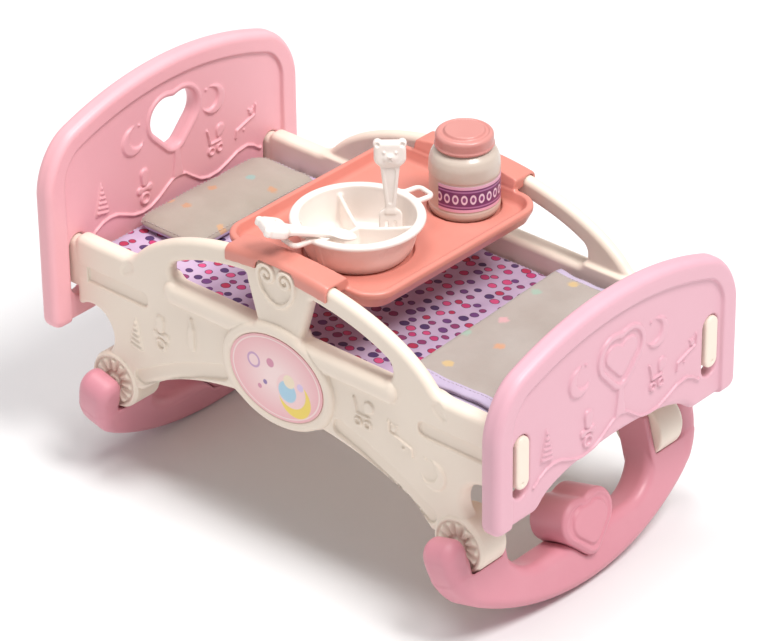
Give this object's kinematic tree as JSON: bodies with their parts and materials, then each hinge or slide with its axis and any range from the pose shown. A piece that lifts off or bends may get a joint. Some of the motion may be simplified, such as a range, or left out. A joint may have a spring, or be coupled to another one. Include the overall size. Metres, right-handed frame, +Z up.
{
  "type": "doll's rocking bed with bedding and feeding set",
  "caption": "Doll's rocking bed with arched side panels, heart-cut headboard, splayed rockers, mattress, pillow, folded blanket, clip-over tray, bowl, spoon, fork and lidded jar.",
  "frame": {"origin": "on the floor, below the middle of the bed's bounding box", "axes": "+X towards the foot of the bed, +Y towards the bed's far side, +Z up"},
  "size_m": [0.494, 0.311, 0.3353],
  "materials": {
    "pink_plastic": "light pink blow-moulded plastic, fine satin grain",
    "cream_plastic": "warm cream blow-moulded plastic, fine satin grain",
    "coral_plastic": "coral pink injection-moulded plastic, half gloss",
    "ivory_plastic": "ivory injection-moulded plastic, half gloss",
    "badge_film": "printed pink sticker with plain shapes",
    "label_film": "printed purple wrap-round sticker with plain bands",
    "mattress_cloth": "lilac polyester cloth printed with small coloured dots",
    "pillow_cloth": "beige polyester cloth with a sparse small print",
    "blanket_cloth": "beige fleece with a sparse small print and a lilac back"
  },
  "bodies": {
    "root": {"headboard": "pink_plastic", "footboard": "pink_plastic", "side_panel_left": "cream_plastic", "side_panel_right": "cream_plastic", "badge_left": "badge_film", "badge_right": "badge_film", "rocker_head": "pink_plastic", "rocker_foot": "pink_plastic", "heart_block_head": "pink_plastic", "heart_block_foot": "pink_plastic", "bed_base": "cream_plastic"},
    "mattress": {"mattress": "mattress_cloth"},
    "pillow": {"pillow": "pillow_cloth"},
    "blanket": {"blanket": "blanket_cloth"},
    "tray": {"tray": "coral_plastic"},
    "bowl": {"bowl": "ivory_plastic"},
    "spoon": {"spoon": "ivory_plastic"},
    "fork": {"fork": "ivory_plastic"},
    "jar": {"jar_body": "ivory_plastic", "jar_label": "label_film"},
    "jar_lid": {"jar_lid": "coral_plastic"}
  },
  "joints": [
    {"name": "mattress_lift", "type": "slide", "parent": "root", "child": "mattress", "axis": [0, 0, 1], "range_m": [0, 0.04]},
    {"name": "pillow_lift", "type": "slide", "parent": "mattress", "child": "pillow", "axis": [0, 0, 1], "range_m": [0, 0.05]},
    {"name": "blanket_lift", "type": "slide", "parent": "mattress", "child": "blanket", "axis": [0, 0, 1], "range_m": [0, 0.05]},
    {"name": "tray_lift", "type": "slide", "parent": "root", "child": "tray", "axis": [0, 0, 1], "range_m": [0, 0.06]},
    {"name": "bowl_lift", "type": "slide", "parent": "tray", "child": "bowl", "axis": [0, 0, 1], "range_m": [0, 0.05]},
    {"name": "spoon_lift", "type": "slide", "parent": "bowl", "child": "spoon", "axis": [0, 0, 1], "range_m": [0, 0.05]},
    {"name": "fork_lift", "type": "slide", "parent": "bowl", "child": "fork", "axis": [0, 0, 1], "range_m": [0, 0.05]},
    {"name": "jar_lift", "type": "slide", "parent": "tray", "child": "jar", "axis": [0, 0, 1], "range_m": [0, 0.05]},
    {"name": "lid_lift", "type": "slide", "parent": "jar", "child": "jar_lid", "axis": [0, 0, 1], "range_m": [0, 0.04]}
  ]
}
